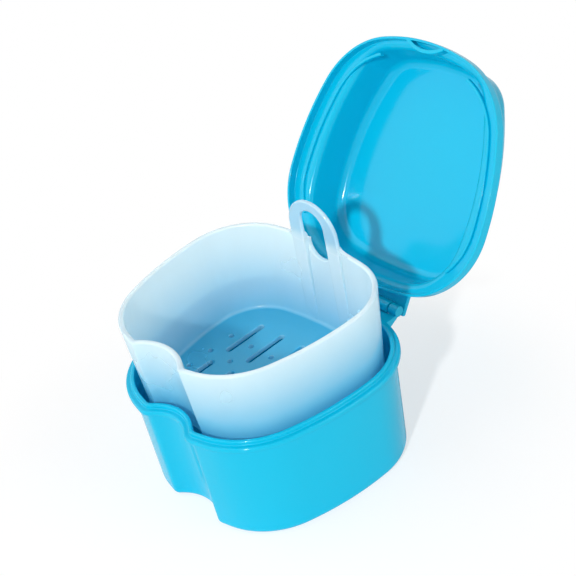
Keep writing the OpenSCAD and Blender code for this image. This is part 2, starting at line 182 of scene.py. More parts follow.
class DomeSizes(bpy.types.PropertyGroup):
    """Sizes of the lid's dome."""
    wall: size("Wall", 1.6, "Wall thickness of the dome")
    depth: size("Depth", 14.7, "Depth of the dome inside, above the cup's rim")
    width: size("Width", 69, "Width of the dome's mouth")
    front: size("Front", 37.5, "Distance from the middle forward to the dome's mouth")
    rear: size("Back", 37.5, "Distance from the middle back to the dome's mouth")
    side_r: size("Side radius", 90, "Radius of the dome's long side curves")
    widest_y: size("Widest place", 9, "Distance from the middle back to the dome's widest place")
    front_corner_r: size("Front corner radius", 13, "Radius of the dome's front corners")
    back_corner_r: size("Back corner radius", 20, "Radius of the dome's back corners")
    draft: angle("Draft", 6, "Draft of the dome's walls")
    fillet_r: size("Top fillet", 3.5, "Radius of the fillet inside the dome's top edge")
    foot_r: size("Foot fillet", 1.2, "Radius of the fillet between the dome and the flange")
    mouth_r: size("Mouth edge", 2.6, "Radius of the edge round the dome's mouth")


class HingeSizes(bpy.types.PropertyGroup):
    """Sizes of the hinge."""
    ear_r: size("Ear radius", 1.9, "Radius of the cup's ears round the pin")
    ear_w: size("Ear width", 3.7, "Width of one ear")
    ear_gap: size("Ear gap", 0.4, "Gap between the knuckle and an ear")
    gusset: size("Web", 4.2, "How far an ear's web reaches down the wall below the ear")
    web_turn: angle("Web direction", 36, "Where the web's lower edge leaves the ear")
    ledge_t: size("Ledge", 1.4, "Thickness of the ledge that joins the ears below the knuckle")
    knuckle_r: size("Knuckle radius", 2.1, "Radius of the lid's knuckle")
    knuckle_len: size("Knuckle length", 34.8, "Length of the lid's knuckle")
    pin_play: size("Play", 0.05, "Running clearance on the pin's radius")
    tab_t: size("Tab", 1.6, "Thickness of the tab between flange and knuckle")
    tab_gap: size("Tab gap", 0.3, "Gap between the tab and the ears")


class Finishes(bpy.types.PropertyGroup):
    """Colours and gloss of the plastics."""
    case_colour: colour("Case", (0.001, 0.50, 0.74), "Colour of the cup and the lid")
    basket_colour: colour("Basket", (0.80, 0.91, 0.93), "Colour of the milky basket near its rim")
    # Painted tint: the blue of the cup seen through the milky plastic near the basket's floor
    basket_painted_tint: colour("Basket depth", (0.08, 0.50, 0.74), "Colour of the milky basket near its floor")
    pin_colour: colour("Pin", (0.001, 0.36, 0.50), "Colour of the hinge pin")
    gloss: number("Case roughness", 0.1, "Roughness of the case's polished faces")
    milk: number("Clearness", 0.4, "How much light the basket lets through")
    glow: number("Milk glow", 0.1, "Light that the milky plastic scatters back, as a share of its colour")


class StageSizes(bpy.types.PropertyGroup):
    """Camera, floor and lights."""
    azimuth: angle("Azimuth", 54.41, "Direction of the camera round the case")
    elevation: angle("Elevation", 34.68, "Height of the camera above the horizon")
    roll: angle("Roll", -12.6, "Tilt of the camera about its own axis")
    lens: bpy.props.FloatProperty(name="Lens", description="Focal length", default=89.2,
                                  subtype="DISTANCE_CAMERA")
    sensor: bpy.props.FloatProperty(name="Sensor", description="Width of the camera's sensor", default=36,
                                    subtype="DISTANCE_CAMERA")
    eye: bpy.props.FloatVectorProperty(name="Eye", description="Place of the camera", size=3, unit="LENGTH",
                                       default=(309.24 * MM, -202.56 * MM, 319.65 * MM))
    floor_size: size("Floor", 6000, "Width of the floor")
    floor_colour: colour("Floor", (0.98, 0.98, 0.98), "Colour of the floor")
    floor_lift: number("Floor lift", 0.55, "Share of plain white that the camera sees of the floor near the case")
    floor_white: number("Floor white", 1.1, "Strength of that white", high=4)
    shadow_reach: size("Shadow reach", 75, "Distance from the middle within which the floor shows its shadow")
    shadow_end: size("Shadow end", 125, "Distance beyond which the floor is plain white")
    fill: number("Fill", 0.32, "Strength of the even light from all round", high=4)
    key: number("Key", 1.9, "Strength of the key light", high=20)
    key_turn: angle("Key direction", 29.3, "Direction of the key light round the case")
    key_rise: angle("Key height", 33.4, "Height of the key light above the horizon")
    key_spread: angle("Key spread", 3.2, "Apparent size of the key light")
    rim: number("Rim light", 0.7, "Strength of the light from behind on the right", high=20)
    rim_turn: angle("Rim direction", 115, "Direction of the rim light round the case")
    rim_rise: angle("Rim height", 25, "Height of the rim light above the horizon")
    rim_spread: angle("Rim spread", 40, "Apparent size of the rim light")
    soft: number("Soft light", 0.9, "Strength of the wide light from the front", high=20)
    soft_turn: angle("Soft direction", -45, "Direction of the wide light round the case")
    soft_rise: angle("Soft height", 38, "Height of the wide light above the horizon")
    soft_spread: angle("Soft spread", 70, "Apparent size of the wide light")


GROUPS = {"outline": OutlineSizes, "cup": CupSizes, "basket": BasketSizes, "lid": LidSizes, "dome": DomeSizes,
          "hinge": HingeSizes, "finishes": Finishes, "stage": StageSizes}


class CaseSettings(bpy.types.PropertyGroup):
    """All sizes and colours of the denture case."""
    outline: bpy.props.PointerProperty(type=OutlineSizes)
    cup: bpy.props.PointerProperty(type=CupSizes)
    basket: bpy.props.PointerProperty(type=BasketSizes)
    lid: bpy.props.PointerProperty(type=LidSizes)
    dome: bpy.props.PointerProperty(type=DomeSizes)
    hinge: bpy.props.PointerProperty(type=HingeSizes)
    finishes: bpy.props.PointerProperty(type=Finishes)
    stage: bpy.props.PointerProperty(type=StageSizes)


# The outline and the curves that are drawn from it

def aim(start, end):
    """Direction in radians from one point to another."""
    return math.atan2(end[1] - start[1], end[0] - start[0])


def meet(a, radius_a, b, radius_b, side):
    """Point at radius_a from a and radius_b from b, left (1) or right (-1) of the line from a to b."""
    a, b = np.array(a, float), np.array(b, float)
    gap = np.linalg.norm(b - a)
    along = (radius_a**2 - radius_b**2 + gap**2) / (2 * gap)
    off = math.sqrt(radius_a**2 - along**2)
    t = (b - a) / gap
    return a + along * t + side * off * np.array([-t[1], t[0]])


def chord_counts(arcs, step):
    """Number of chords on each arc (centre, radius, start, end), none longer than step."""
    return [max(2, math.ceil(abs((b - a) * r) / step)) for c, r, a, b in arcs]


class Outline:
    """Closed chain of tangent arcs (centre, radius, start, end), with a radius below zero where hollow."""

    def __init__(self, side, front, back, corners, step, notch=None):
        self.front, self.back, self.notch = front, back, notch
        front_corner = meet(side[0], side[1] - corners[0], front[0], front[1] - corners[0], -1)
        back_corner = meet(side[0], side[1] - corners[1], back[0], back[1] - corners[1], 1)
        self.front_end, self.back_start = aim(front[0], front_corner), aim(back[0], back_corner)
        start, end = aim(side[0], front_corner), aim(side[0], back_corner)
        self.flank = [(front_corner, corners[0], self.front_end, start), (*side, start, end),
                      (back_corner, corners[1], end, self.back_start)]
        self.counts = chord_counts(self.arcs(0), step)

    def arcs(self, u):
        """The chain, counter-clockwise from the front, for a wall at a distance u outward."""
        first, right = (*self.front, -math.pi - self.front_end, self.front_end), []
        if self.notch:
            centre, radius, shoulder_r, shoulder_min = self.notch
            tight = max(shoulder_r + u, shoulder_min)
            c = meet(centre, radius - u + tight, self.front[0], self.front[1] + u - tight, -1)
            start, end = aim(centre, c), aim(self.front[0], c)
            first = (centre, -radius, math.pi - start, start)
            right = [(c, tight - u, start - math.pi, end), (*self.front, end, self.front_end)]
        right = right + self.flank
        back = (*self.back, self.back_start, math.pi - self.back_start)
        left = [((-c[0], c[1]), r, math.pi - b, math.pi - a) for c, r, a, b in reversed(right)]
        return [first] + right + [back] + left

    def ring(self, u):
        """Points on the chain moved outward by u: centre + |radius + u| (cos a, sin a), even on each arc."""
        return chain(self.arcs(u), self.counts, u)

    def back_edge(self, x):
        """Y of the back curve at a distance x from the middle."""
        return self.back[0][1] + math.sqrt(self.back[1]**2 - x**2)


def rim_outline(s, notched=True):
    """Outline of the cup's rim, with or without its thumb notch."""
    plan = s.outline
    notch = ((0, plan.notch_depth - plan.case_d / 2 - plan.notch_r), plan.notch_r, plan.shoulder_r,
             plan.shoulder_min)
    return Outline(((plan.case_w / 2 - plan.side_r, plan.widest_y), plan.side_r),
                   ((0, plan.front_r - plan.case_d / 2), plan.front_r),
                   ((0, plan.case_d / 2 - plan.back_r), plan.back_r),
                   (plan.front_corner_r, plan.back_corner_r), plan.step, notch if notched else None)


def dome_outline(s):
    """Outline of the dome's mouth in the lid."""
    dome, plan = s.dome, s.outline
    return Outline(((dome.width / 2 - dome.side_r, dome.widest_y), dome.side_r),
                   ((0, plan.front_r - dome.front), plan.front_r),
                   ((0, dome.rear - plan.back_r), plan.back_r),
                   (dome.front_corner_r, dome.back_corner_r), plan.step)


def chain(arcs, counts, u, closed=True):
    """Points along arcs at |radius + u| from each centre; an open chain keeps the last arc's end."""
    points = []
    for (c, r, a, b), n in zip(arcs, counts):
        turn = a + (b - a) * np.arange(n) / n
        points.append(np.array(c) + abs(r + u) * np.stack([np.cos(turn), np.sin(turn)], 1))
    if not closed:
        c, r, a, b = arcs[-1]
        points.append((np.array(c) + abs(r + u) * np.array([math.cos(b), math.sin(b)]))[None])
    return np.concatenate(points)


def edge(u, z, r, start, end, steps=6):
    """Rounded edge in a section: (u + r cos a, z + r sin a) for a from start to end in degrees."""
    a = np.radians(np.linspace(start, end, steps + 1))
    return [tuple(p) for p in np.stack([u + r * np.cos(a), z + r * np.sin(a)], 1)]


def round_corners(corners, step=0.25 * MM):
    """Closed outline with each corner (x, y, radius) replaced by a tangent arc, counter-clockwise."""
    points = []
    n = len(corners)
    for i, (x, y, r) in enumerate(corners):
        p = np.array([x, y])
        before, after = np.array(corners[i - 1][:2]) - p, np.array(corners[(i + 1) % n][:2]) - p
        before, after = before / np.linalg.norm(before), after / np.linalg.norm(after)
        half = math.acos(float(np.clip(before @ after, -1, 1))) / 2
        if r <= 0 or half > math.pi / 2 - 1e-3:
            points.append(p[None])
            continue
        reach = r / math.tan(half)
        centre = p + (before + after) / np.linalg.norm(before + after) * r / math.sin(half)
        a, b = aim(centre, p + before * reach), aim(centre, p + after * reach)
        turn = (b - a + math.pi) % (2 * math.pi) - math.pi
        t = a + turn * np.linspace(0, 1, max(3, math.ceil(abs(turn) * r / step)) + 1)
        points.append(centre + r * np.stack([np.cos(t), np.sin(t)], 1))
    return np.concatenate(points)


def outward(outline):
    """Unit normals of a closed counter-clockwise outline: its tangents, turned to the right."""
    t = np.roll(outline, -1, 0) - np.roll(outline, 1, 0)
    t = t / np.linalg.norm(t, axis=1, keepdims=True)
    return np.stack([t[:, 1], -t[:, 0]], 1)


# Meshes

def new_piece(name, points, faces):
    """A mesh object at the origin, with smooth faces."""
    mesh = bpy.data.meshes.new(name)
    mesh.from_pydata(points.reshape(-1, 3), [], faces)
    mesh.shade_smooth()
    piece = bpy.data.objects.new(name, mesh)
    bpy.context.scene.collection.objects.link(piece)
    return piece


def skin(name, rings):
    """Closed skin over rings (k, n, 3): quads between neighbours, with the first and last ring capped."""
    k, n = rings.shape[:2]
    index = np.arange(k * n).reshape(k, n)
    ahead = np.roll(index, -1, 1)
    quads = np.stack([index[:-1], ahead[:-1], ahead[1:], index[1:]], -1).reshape(-1, 4).tolist()
    return new_piece(name, rings, quads + [index[0, ::-1].tolist(), index[-1].tolist()])


def shell(name, outline, section):
    """Moulded shell: every section point (u, z) carried round the outline as one ring."""
    rings = [np.column_stack([outline.ring(u), np.full(sum(outline.counts), z)]) for u, z in section]
    return skin(name, np.array(rings))


def plate(name, outline, levels, place):
    """Plate with moulded edges: the outline moved outward by u at each level (depth, u), set by place."""
    normals = outward(outline)
    rings = [place(*(outline + u * normals).T, np.full(len(outline), depth)) for depth, u in levels]
    return skin(name, np.array(rings))


def rounded_levels(low, high, r, steps=5):
    """Levels of a plate from low to high, whose two edges are quarter circles of radius r."""
    a = np.linspace(0, math.pi / 2, steps + 1)
    first = [(low + r - r * math.cos(t), -r + r * math.sin(t)) for t in a]
    last = [(high - r + r * math.sin(t), -r + r * math.cos(t)) for t in a]
    return first + last


def flared_levels(low, high, r, steps=4):
    """Levels of a cutter that leaves both mouths of its hole rounded: wide outside, straight between."""
    mouth = [(low - BEYOND, r)] + [(low + r - r * math.cos(t), r - r * math.sin(t))
                                   for t in np.linspace(0, math.pi / 2, steps + 1)]
    return mouth + [(low + high - depth, u) for depth, u in reversed(mouth)]


def upright(x, y, depth):
    """Puts an outline in X and Y at a height."""
    return np.stack([x, y, depth], 1)


def facing_back(x, z, depth):
    """Puts an outline in X and Z at a place in Y, keeping its faces outward."""
    return np.stack([x, depth, z], 1)[::-1]


def facing_side(y, z, depth):
    """Puts an outline in Y and Z at a place in X."""
    return np.stack([depth, y, z], 1)


def circle(x, y, r, n=48):
    """Closed circle of n points."""
    a = 2 * math.pi * np.arange(n) / n
    return np.stack([x + r * np.cos(a), y + r * np.sin(a)], 1)


def stadium(x, low, high, r, n=40):
    """Closed slot outline with round ends whose centres are at low and high."""
    top = np.linspace(0, math.pi, n // 2 + 1)
    points = [np.stack([x + r * np.cos(top), high + r * np.sin(top)], 1),
              np.stack([x - r * np.cos(top), low - r * np.sin(top)], 1)]
    return np.concatenate(points)


def combine(piece, others, operation):
    """Joins (UNION) or cuts (DIFFERENCE) closed pieces into the first one, which keeps its name."""
    for other in others:
        step = piece.modifiers.new("form", "BOOLEAN")
        step.operation, step.solver, step.object = operation, "MANIFOLD", other
        bpy.context.view_layer.update()
        made = bpy.data.meshes.new_from_object(piece.evaluated_get(bpy.context.evaluated_depsgraph_get()))
        piece.modifiers.clear()
        old, piece.data = piece.data, made
        made.name = piece.name
        bpy.data.meshes.remove(old)
        bpy.data.meshes.remove(other.data)
    if not piece.data.polygons:
        raise RuntimeError(f"{piece.name} came out empty")
    return piece


def join(pieces, name):
    """One object from several separate closed pieces."""
    points, faces, start = [], [], 0
    for piece in pieces:
        mesh = piece.data
        points.append(np.array([v.co for v in mesh.vertices]))
        faces += [[start + i for i in face.vertices] for face in mesh.polygons]
        start += len(mesh.vertices)
        bpy.data.meshes.remove(mesh)
    return new_piece(name, np.concatenate(points), faces)


def face_out(piece):
    """Turns a closed piece's faces outward: a volume below zero means that they point in."""
    shape = bmesh.new()
    shape.from_mesh(piece.data)
    bmesh.ops.recalc_face_normals(shape, faces=shape.faces)
    if shape.calc_volume(signed=True) < 0:
        bmesh.ops.reverse_faces(shape, faces=shape.faces)
    shape.to_mesh(piece.data)
    shape.free()
    return piece


def polish(piece, sharp=38):
    """Smooth faces with normals weighted by area, sharp only past an angle in degrees."""
    piece.data.shade_smooth()
    piece.data.set_sharp_from_angle(angle=math.radians(sharp))
    weigh = piece.modifiers.new("normals", "WEIGHTED_NORMAL")
    weigh.keep_sharp, weigh.weight = True, 100
    return piece


def turned(piece, angle_x):
    """Turns a piece's mesh about the hinge axis."""
    axis = Vector((0, HINGE_Y, HINGE_Z))
    turn = Matrix.Rotation(angle_x, 4, "X")
    piece.data.transform(Matrix.Translation(axis) @ turn @ Matrix.Translation(-axis))
    return piece


def settle(piece, body, node, material):
    """Gives a finished piece its body and its material in one slot, and hides the CAD node that it stands for."""
    piece.data.materials.clear()
    piece.data.materials.append(material)
    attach(piece, body)
    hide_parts(node)


# Materials

class Wire:
    """A shader socket that takes part in Python sums and products."""

    def __init__(self, tree, socket):
        self.tree, self.socket = tree, socket

    def _math(self, operation, first, second):
        node = self.tree.nodes.new("ShaderNodeMath")
        node.operation = operation
        for place, value in zip(node.inputs, (first, second)):
            if isinstance(value, Wire):
                self.tree.links.new(value.socket, place)
            else:
                place.default_value = value
        return Wire(self.tree, node.outputs[0])

    def __add__(self, other):
        return self._math("ADD", self, other)

    def __radd__(self, other):
        return self._math("ADD", other, self)

    def __sub__(self, other):
        return self._math("SUBTRACT", self, other)

    def __rsub__(self, other):
        return self._math("SUBTRACT", other, self)

    def __mul__(self, other):
        return self._math("MULTIPLY", self, other)

    def __rmul__(self, other):
        return self._math("MULTIPLY", other, self)

    def least(self, other):
        """The smaller of this and another value."""
        return self._math("MINIMUM", self, other)


class Finish:
    """A material under construction."""

    def __init__(self, name):
        self.material = bpy.data.materials.new(name)
        self.material.use_nodes = True
        self.tree = self.material.node_tree
        self.tree.nodes.clear()

    def add(self, kind, settings=None, inputs=None, out=0):
        """A node of that kind, its settings first and then its sockets' values or links."""
        node = self.tree.nodes.new(kind)
        for key, value in (settings or {}).items():
            setattr(node, key, value)
        for key, value in (inputs or {}).items():
            if isinstance(value, Wire):
                self.tree.links.new(value.socket, node.inputs[key])
            else:
                node.inputs[key].default_value = value
        return Wire(self.tree, node.outputs[out])

    def place(self):
        """Object coordinates, in metres."""
        return self.add("ShaderNodeTexCoord", out=3)

    def noise(self, where, per_metre, detail=3.0, roughness=0.5):
        """Noise with that many features per metre."""
        return self.add("ShaderNodeTexNoise", None, {"Vector": where, "Scale": per_metre, "Detail": detail,
                                                     "Roughness": roughness})

    def mix(self, amount, first, second):
        """Colour between two colours."""
        return self.add("ShaderNodeMix", {"data_type": "RGBA"},
                        {0: amount, 6: (*first, 1) if not isinstance(first, Wire) else first,
                         7: (*second, 1) if not isinstance(second, Wire) else second}, out=2)

    def spread(self, value, low, high):
        """A value stretched from its range low to high on to 0 to 1, with soft ends."""
        return self.add("ShaderNodeMapRange", {"interpolation_type": "SMOOTHSTEP"},
                        {"Value": value, "From Min": low, "From Max": high})

    def bump(self, height, depth, strength=1.0):
        """Normals of a relief of that depth in metres."""
        return self.add("ShaderNodeBump", None, {"Height": height, "Distance": depth, "Strength": strength})

    def surface(self, sockets):
        """A Principled shader."""
        return self.add("ShaderNodeBsdfPrincipled", None, sockets)

    def end(self, shader):
        """Ends the material in that shader."""
        output = self.tree.nodes.new("ShaderNodeOutputMaterial")
        self.tree.links.new(shader.socket, output.inputs["Surface"])
        return self.material


def scale_colour(rgb, share):
    """A colour with each value times share."""
    return tuple(value * share for value in rgb)


def case_plastic(tone, gloss, name):
    """Glossy moulded plastic: slow colour drift, faint haze, hairline rubs and an orange-peel relief."""
    made = Finish(name)
    where = made.place()
    drift = made.noise(where, 22, 2)
    haze = made.noise(where, 380, 4, 0.6)
    streaks = made.add("ShaderNodeMapping", None, {"Vector": where, "Scale": (1, 12, 3)})
    rubs = made.spread(made.noise(streaks, 800, 2), 0.68, 0.82)
    peel = made.noise(where, 600, 2)
    return made.end(made.surface({
        "Base Color": made.mix(drift, tone, scale_colour(tone, 0.94)),
        "Roughness": gloss + 0.05 * haze + 0.08 * rubs,
        "IOR": 1.49,
        "Specular IOR Level": 0.24,
        "Normal": made.bump(peel, RELIEF, 0.3),
    }))


def milky_plastic(tone, painted_tint_tone, low, high, clearness, glow):
    """Milky plastic that lets light through, faintly cloudy, with light painted into its colour.

    Painted tint: its tone rises from the painted blue of the cup seen through it, just above the floor at low, to
    tone just above the rim at high, sooner on faces that look inward. Above the rim, where the handle stands
    free, it turns back to that of the wall below. Painted highlight: it is paler at its edges. Painted glow: it
    emits light in its own colour.
    """
    made = Finish("basket_plastic")
    where = made.place()
    height = made.add("ShaderNodeSeparateXYZ", None, {"Vector": where}, out=2)
    cloud = made.noise(where, 38, 3, 0.55)
    flow = made.noise(made.add("ShaderNodeMapping", None, {"Vector": where, "Scale": (1, 1, 0.25)}), 140, 3)
    grain = made.noise(where, 1300, 2)
    edges = made.add("ShaderNodeAttribute", {"attribute_name": "edge"}, out=2)
    inner = made.add("ShaderNodeAttribute", {"attribute_name": "inner"}, out=2)
    # Painted tint: the blue of the cup seen through the plastic, painted in low down and on outward faces
    free = made.spread(height, high, high + 6 * MM)
    depth = height.least(high) + 4 * MM * cloud + 14 * MM * inner - 20 * MM * free
    rise = made.spread(depth, low + 6 * MM, high + 13 * MM)
    body = made.mix(rise, painted_tint_tone, made.mix(0.35 * flow, tone, scale_colour(tone, 0.9)))
    # Painted highlight: near-white painted on the lip and the handle's rims, where light gathers
    painted_highlight_white = (0.92, 0.96, 0.97)
    return made.end(made.surface({
        "Base Color": made.mix(0.7 * edges, body, painted_highlight_white),
        "Roughness": 0.2 + 0.12 * cloud,
        "IOR": 1.3,
        "Transmission Weight": clearness,
        "Coat Weight": 0.3,
        "Coat Roughness": 0.1,
        # Painted glow: the plastic emits light in its own colour, in place of light scattered inside it
        "Emission Color": body,
        "Emission Strength": glow,
        "Normal": made.bump(grain, RELIEF, 0.2),
    }))


def floor_paint(tone, lift, white, near, far):
    """Pale matt floor: the camera sees it partly plain white, which leaves a faint shadow, and all white far off.

    The share of white rises from lift to 1 as the distance from the case's middle goes from near to far.
    """
    made = Finish("floor_paint")
    grain = made.noise(made.place(), 60, 3)
    shaded = made.surface({
        "Base Color": made.mix(grain, tone, scale_colour(tone, 0.995)),
        "Roughness": 0.6 + 0.05 * grain,
        "Specular IOR Level": 0.1,
    })
    glow = made.add("ShaderNodeEmission", None, {"Color": (1, 1, 1, 1), "Strength": white})
    plain = made.add("ShaderNodeEmission", None, {"Color": (1, 1, 1, 1), "Strength": 1.0})
    seen = made.add("ShaderNodeLightPath", out=0)
    away = made.add("ShaderNodeVectorMath", {"operation": "LENGTH"}, {0: made.place()}, out=1)
    close = made.add("ShaderNodeMixShader", None, {0: lift * seen, 1: shaded, 2: glow})
    all_white = made.spread(away, near, far) * seen
    return made.end(made.add("ShaderNodeMixShader", None, {0: all_white, 1: close, 2: plain}))


# Sections and places, all in metres

def settings():
    """The scene's denture case settings."""
    return bpy.context.scene.denture_case


def cup_wall(s):
    """Outward distance of the cup's outer and inner wall at a height, as two functions."""
    cup = s.cup
    slope = math.tan(cup.draft)
    flange_z = cup.height - cup.lip_h - cup.flange_h

    def outside(z):
        return -cup.overhang - (flange_z - z) * slope

    def inside(z):
        return -cup.overhang - cup.wall - (cup.height - z) * slope

    return outside, inside


def basket_wall(s):
    """Outward distance of the basket's outer and inner wall at a height on its seat, as two functions."""
    basket = s.basket
    low = s.cup.floor + basket.seat_gap + basket.foot_h
    top = low + basket.height
    rim_u = cup_wall(s)[1](top) - basket.gap
    slope = math.tan(basket.draft)

    def outside(z):
        return rim_u - (top - z) * slope

    def inside(z):
        return outside(z) - basket.wall

    return outside, inside, low, top


def cup_section(s):
    """Cup: bottom edge, wall, flange with rounded edges, lip and inside wall down to the floor."""
    cup = s.cup
    top = cup.height
    outside, inside = cup_wall(s)
    draft = math.degrees(cup.draft)
    flange_top = top - cup.lip_h
    flange_low = flange_top - cup.flange_h
    lip_u = -cup.overhang
    lower_r, upper_r, root_r, lip_r = 0.4 * MM, 0.7 * MM, 0.4 * MM, 0.5 * MM
    bottom_u = outside(cup.edge_r) - cup.edge_r / math.cos(cup.draft)
    fillet_z = cup.floor + cup.fillet_r
    fillet_u = inside(fillet_z) - cup.fillet_r / math.cos(cup.draft)
    return (edge(bottom_u, cup.edge_r, cup.edge_r, -90, -draft, 10)
            + [(outside(flange_low - 2 * root_r), flange_low - 2 * root_r)]
            + edge(outside(flange_low) + root_r, flange_low - root_r, root_r, 180, 90, 4)
            + edge(-lower_r, flange_low + lower_r, lower_r, -90, 0, 4)
            + edge(-upper_r, flange_top - upper_r, upper_r, 0, 90, 7)
            + edge(lip_u + root_r, flange_top + root_r, root_r, 270, 180, 4)
            + edge(lip_u - lip_r, top - lip_r, lip_r, 0, 90, 6)
            + edge(inside(top) + lip_r, top - lip_r, lip_r, 90, 180, 6)
            + edge(fillet_u, fillet_z, cup.fillet_r, -draft, -90, 8))


def web_top(s):
    """Height at which the ears' webs and the ledge end, below the lid's skirt."""
    return s.cup.height - s.lid.skirt_h - s.lid.gap


def rear_wall(s, x):
    """Y of the middle of the cup's rear wall below its rim, at a distance x from the middle."""
    return rim_outline(s).back_edge(x) - s.cup.overhang - s.cup.wall / 2


def ear(s, hand):
    """Hinge ear on one side: a round eye, and a web that slopes down from it to the wall."""
    hinge = s.hinge
    inner = hinge.knuckle_len / 2 + hinge.ear_gap
    outer = inner + hinge.ear_w
    low_x, high_x = (inner, outer) if hand > 0 else (-outer, -inner)
    top, root_y = web_top(s), rear_wall(s, outer)
    foot = HINGE_Z - hinge.ear_r - hinge.gusset
    web = round_corners([(root_y - (top - foot) * math.tan(s.cup.draft), foot, 0),
                         (HINGE_Y, HINGE_Z - hinge.ear_r * math.cos(hinge.web_turn), 0),
                         (HINGE_Y, top, 0), (root_y, top, 0)])
    eye_levels = rounded_levels(low_x, high_x, FINE_EDGE, 3)
    web_levels = rounded_levels(low_x + FINE_EDGE, high_x - FINE_EDGE, FINE_EDGE, 3)
    return [plate("ear", circle(HINGE_Y, HINGE_Z, hinge.ear_r), eye_levels, facing_side),
            plate("web", web, web_levels, facing_side)]


def ledge(s):
    """Ledge that joins the two ears: from the cup's curved wall to the knuckle, and on round below it.

    The directions in which it starts and ends round the hinge axis are in degrees.
    """
    hinge, top = s.hinge, web_top(s)
    sections, under, tip = 17, 222, 252
    reach = hinge.knuckle_len / 2 + hinge.ear_gap + hinge.ear_w / 2
    near = hinge.knuckle_r + s.lid.gap
    start = 180 + math.degrees(math.asin((HINGE_Z - top) / near))
    saddle = (edge(HINGE_Y, HINGE_Z, near + hinge.ledge_t / 2, under, tip)
              + edge(HINGE_Y, HINGE_Z, near, tip, start))
    rings = []
    for x in np.linspace(-reach, reach, sections):
        front = rear_wall(s, x)
        side = np.array([(front, top - 2 * hinge.ledge_t)] + saddle + [(front, top)])
        rings.append(facing_side(*side.T, np.full(len(side), x)))
    return skin("ledge", np.array(rings))


def make_cup(s):
    """The cup with its two hinge ears and the ledge between them."""
    piece = shell("cup_shell", rim_outline(s), cup_section(s))
    combine(piece, ear(s, 1) + ear(s, -1) + [ledge(s)], "UNION")
    return polish(piece)


def basket_section(s):
    """Basket on its seat: bottom edge, drafted wall, round lip and inside wall down to the floor."""
    basket = s.basket
    outside, inside, low, top = basket_wall(s)
    draft = math.degrees(basket.draft)
    lip_r = basket.wall / 2 * 0.8
    bottom_u = outside(low + basket.edge_r) - basket.edge_r / math.cos(basket.draft)
    fillet_z = low + basket.wall + basket.fillet_r
    fillet_u = inside(fillet_z) - basket.fillet_r / math.cos(basket.draft)
    return (edge(bottom_u, low + basket.edge_r, basket.edge_r, -90, -draft, 8)
            + edge(outside(top) - lip_r, top - lip_r, lip_r, 0, 90, 6)
            + edge(inside(top) + lip_r, top - lip_r, lip_r, 90, 180, 6)
            + edge(fillet_u, fillet_z, basket.fillet_r, -draft, -90, 7))


def strainer_cutters(s):
    """Cutters of the paired slots and of the drain holes between the rows, with rounded mouths."""
    basket = s.basket
    low = basket_wall(s)[2]
    levels = flared_levels(low, low + basket.wall, RIB_EDGE)
    half_rows = (basket.slot_rows - 1) / 2
    half_run = basket.slot_len / 2 - basket.slot_w / 2
    middle = (basket.slot_bridge + basket.slot_len) / 2
    made = []
    for row in range(basket.slot_rows):
        x = (row - half_rows) * basket.slot_pitch
        for y in (-middle, middle):
            slot = stadium(x, y - half_run, y + half_run, basket.slot_w / 2, 24)
            made.append(plate("slot", slot, levels, upright))
    for row in range(basket.slot_rows + 1):
        x = (row - half_rows - 0.5) * basket.slot_pitch
        for y in (-basket.drain_y, 0, basket.drain_y):
            made.append(plate("drain", circle(x, y, basket.drain_d / 2, 28), levels, upright))
    return join(made, "strainer_cutters")


def handle_places(s):
    """Front and back face of the handle's loop in Y, its top, and the finger hole's outline in X and Z."""
    basket = s.basket
    inside, top = basket_wall(s)[1], basket_wall(s)[3]
    front = s.outline.case_d / 2 + inside(top) - basket.handle_set
    crown = top + basket.handle_h
    r = basket.handle_w / 2 - basket.strap_w
    hole = stadium(0, top - basket.hole_dip + r, crown - basket.strap_top_w - r, r, 72)
    return front, front + basket.handle_t, crown, hole


def loop(s):
    """Loop of the handle above the rim, with the finger hole through it."""
    basket, top = s.basket, basket_wall(s)[3]
    front, back, crown, hole = handle_places(s)
    half, r = basket.handle_w / 2, basket.round_r
    # The arch's two corners meet at the crown, short of each other by a hair
    corner, step = half * 0.999, 0.4 * MM
    arch = round_corners([(-half, top, 0), (half, top, 0), (half, crown, corner), (-half, crown, corner)], step)
    piece = face_out(plate("loop", arch, rounded_levels(front, back, r), facing_back))
    cutter = face_out(plate("hole", hole, flared_levels(front, back, r), facing_back))
    return combine(piece, [cutter], "DIFFERENCE")


def leg(s, hand):
    """Leg of the handle: it rises out of the rear wall, stands proud at the rim and narrows to the loop."""
    basket = s.basket
    outside, inside, low, top = basket_wall(s)
    front, back = handle_places(s)[:2]
    half = basket.handle_w / 2
    near, far = (half - basket.strap_w, half) if hand > 0 else (-half, basket.strap_w - half)
    edge_y = rim_outline(s).back_edge(half) - basket.wall / 2
    foot_z, lip_z = low + basket.wall - BITE, top - SOFT_EDGE
    foot_y, lip_y = edge_y + outside(foot_z), edge_y + outside(lip_z)
    behind, rise = back - SMALL_EDGE, top + basket.root_r - lip_z
    rows = [(foot_z, foot_y - BITE, foot_y), (lip_z, front, lip_y)]
    rows += [(lip_z + rise * math.sin(t), front, behind + (lip_y - behind) * math.cos(t))
             for t in np.linspace(0.2, math.pi / 2, 6)]
    rings = []
    for z, near_y, rear_y in rows:
        flat = round_corners([(near, near_y, SOFT_EDGE), (far, near_y, SOFT_EDGE),
                              (far, rear_y, 0), (near, rear_y, 0)])
        rings.append(np.column_stack([flat, np.full(len(flat), z)]))
    return face_out(skin("leg", np.array(rings)))


